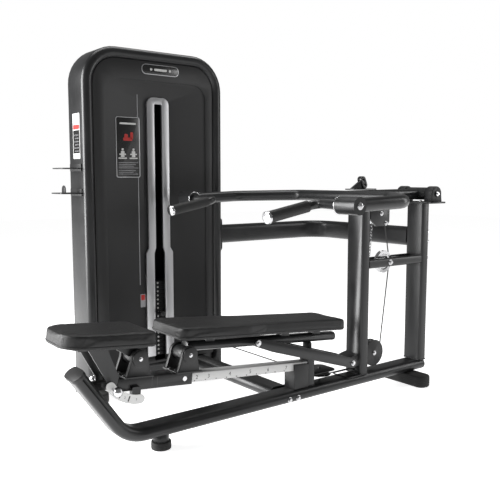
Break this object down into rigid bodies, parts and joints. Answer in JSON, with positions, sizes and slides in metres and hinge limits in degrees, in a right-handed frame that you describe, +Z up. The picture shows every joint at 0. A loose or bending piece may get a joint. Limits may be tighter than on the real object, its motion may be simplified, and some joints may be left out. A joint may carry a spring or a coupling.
{
  "type": "multi press machine",
  "caption": "Selectorised multi-press gym machine: weight tower, pivoting press arm, and a sliding bench whose backrest rises on a numbered rail.",
  "frame": {"origin": "middle of the machine's box, on the floor", "axes": "+X from the seat end to the press arm's pivot, +Y from the bench to the weight tower, +Z up"},
  "size_m": [1.9134, 1.408, 1.588],
  "materials": {
    "frame_paint": "satin dark grey powder coat",
    "panel_black": "satin black formed panel",
    "black_plastic": "black moulded plastic and coated steel",
    "rubber": "black rubber",
    "chrome": "bright chrome",
    "white_paint": null,
    "cast_iron": "black painted iron",
    "vinyl": "black upholstery vinyl",
    "cable_black": "black coated steel cable"
  },
  "bodies": {
    "root": {"main_beam": "frame_paint", "beam_cap": "black_plastic", "front_foot": "rubber", "rear_foot": "rubber", "cross_beam": "frame_paint", "front_upright": "frame_paint", "rear_upright": "frame_paint", "pulley_rail_near": "frame_paint", "pulley_rail_far": "frame_paint", "arm_stop": "rubber", "link_tube": "frame_paint", "rail_post": "frame_paint", "post_bumper": "rubber", "guide_rail": "white_paint", "rail_bracket": "black_plastic", "tower_arch": "frame_paint", "tower_foot_left": "rubber", "tower_foot_right": "rubber", "tower_panel": "panel_black", "tower_back": "panel_black", "slot_bezel": "chrome", "stack_resting": "cast_iron", "guide_rod_left": "chrome", "guide_rod_right": "chrome", "tray_upper": "black_plastic", "tray_lower": "black_plastic", "pivot_plate": "frame_paint", "bearing_block_near": "cast_iron", "bearing_block_far": "cast_iron", "high_axle": "chrome", "pulley_cover_near": "black_plastic", "pulley_cover_far": "black_plastic", "turn_bracket": "black_plastic", "cable": "cable_black"},
    "press_arm": {"arm_frame": "frame_paint", "lever_plate": "frame_paint", "handle_bracket": "frame_paint"},
    "hanging_chain": {"stop_chain": "chrome"},
    "handle_near": {"handle_near": "frame_paint", "grip_cap_near": "chrome"},
    "handle_far": {"handle_far": "frame_paint", "grip_cap_far": "chrome"},
    "stack": {"stack_lifted": "cast_iron"},
    "selector": {"selector_pin": "black_plastic"},
    "high_pulley": {"high_pulley": "chrome"},
    "low_pulley": {"low_pulley": "black_plastic"},
    "turn_pulley": {"turn_pulley": "black_plastic"},
    "carriage": {"carriage_sleeve": "frame_paint", "seat_bracket": "black_plastic", "back_bracket": "black_plastic", "tilt_plate": "white_paint"},
    "rail_pin": {"rail_pin": "chrome"},
    "seat": {"seat_pad": "vinyl", "seat_frame": "frame_paint"},
    "seat_knob_near": {"seat_knob_near": "chrome"},
    "seat_knob_far": {"seat_knob_far": "chrome"},
    "backrest": {"back_pad": "vinyl", "back_frame": "frame_paint"},
    "strut": {"strut": "frame_paint"}
  },
  "joints": [
    {"name": "press_arm_pivot", "type": "hinge", "parent": "root", "child": "press_arm", "pos_m": [0.90674, -0.146, 0.928], "axis": [0, 1, 0], "range_deg": [0, 38]},
    {"name": "handle_near_swivel", "type": "hinge", "parent": "press_arm", "child": "handle_near", "pos_m": [-0.09326, -0.608, 0.908], "axis": [0, 1, 0], "range_deg": [-35, 35]},
    {"name": "handle_far_swivel", "type": "hinge", "parent": "press_arm", "child": "handle_far", "pos_m": [-0.09326, 0.316, 0.908], "axis": [0, 1, 0], "range_deg": [-35, 35]},
    {"name": "chain_hang", "type": "hinge", "parent": "press_arm", "child": "hanging_chain", "pos_m": [0.57674, -0.146, 0.796], "axis": [0, 1, 0], "range_deg": [-39, 0]},
    {"name": "stack_lift", "type": "slide", "parent": "root", "child": "stack", "axis": [0, 0, 1], "range_m": [0, 0.165]},
    {"name": "selector_pull", "type": "slide", "parent": "stack", "child": "selector", "axis": [0, -1, 0], "range_m": [0, 0.05]},
    {"name": "high_pulley_turn", "type": "hinge", "parent": "root", "child": "high_pulley", "pos_m": [0.65674, -0.146, 0.612], "axis": [0, 1, 0], "range_deg": [-203, 0]},
    {"name": "low_pulley_turn", "type": "hinge", "parent": "root", "child": "low_pulley", "pos_m": [0.58974, -0.146, 0.185], "axis": [0, 1, 0], "range_deg": [-173, 0]},
    {"name": "turn_pulley_turn", "type": "hinge", "parent": "root", "child": "turn_pulley", "pos_m": [0.29674, -0.101, 0.132], "axis": [0, 0, 1], "range_deg": [0, 203]},
    {"name": "carriage_slide", "type": "slide", "parent": "root", "child": "carriage", "axis": [0.9959, 0, -0.0906], "range_m": [0, 0.41]},
    {"name": "rail_pin_pull", "type": "slide", "parent": "carriage", "child": "rail_pin", "axis": [0, 1, 0], "range_m": [0, 0.012], "stiffness_N_per_m": 500, "springref_m": -0.004},
    {"name": "seat_tilt", "type": "hinge", "parent": "carriage", "child": "seat", "pos_m": [-0.65526, -0.146, 0.36763], "axis": [0, -1, 0], "range_deg": [0, 18]},
    {"name": "seat_knob_near_pull", "type": "slide", "parent": "seat", "child": "seat_knob_near", "axis": [0, -1, 0], "range_m": [0, 0.012], "stiffness_N_per_m": 500, "springref_m": -0.004},
    {"name": "seat_knob_far_pull", "type": "slide", "parent": "seat", "child": "seat_knob_far", "axis": [0, 1, 0], "range_m": [0, 0.012], "stiffness_N_per_m": 500, "springref_m": -0.004},
    {"name": "backrest_recline", "type": "hinge", "parent": "carriage", "child": "backrest", "pos_m": [-0.44821, -0.146, 0.34778], "axis": [0, -1, 0], "range_deg": [0, 75]},
    {"name": "strut_swing", "type": "hinge", "parent": "root", "child": "strut", "pos_m": [0.40674, -0.146, 0.175], "axis": [0, 1, 0], "range_deg": [0, 33]}
  ],
  "couplings": [
    {"joint": "chain_hang", "follows": "press_arm_pivot", "ratio": -1},
    {"joint": "stack_lift", "follows": "press_arm_pivot", "m_per_rad": 0.239},
    {"joint": "high_pulley_turn", "follows": "press_arm_pivot", "ratio": -5.3111},
    {"joint": "low_pulley_turn", "follows": "press_arm_pivot", "ratio": -4.5094},
    {"joint": "turn_pulley_turn", "follows": "press_arm_pivot", "ratio": 5.3111},
    {"joint": "backrest_recline", "follows": "carriage_slide", "rad_per_m": 3.1523},
    {"joint": "strut_swing", "follows": "carriage_slide", "rad_per_m": 1.4039}
  ]
}
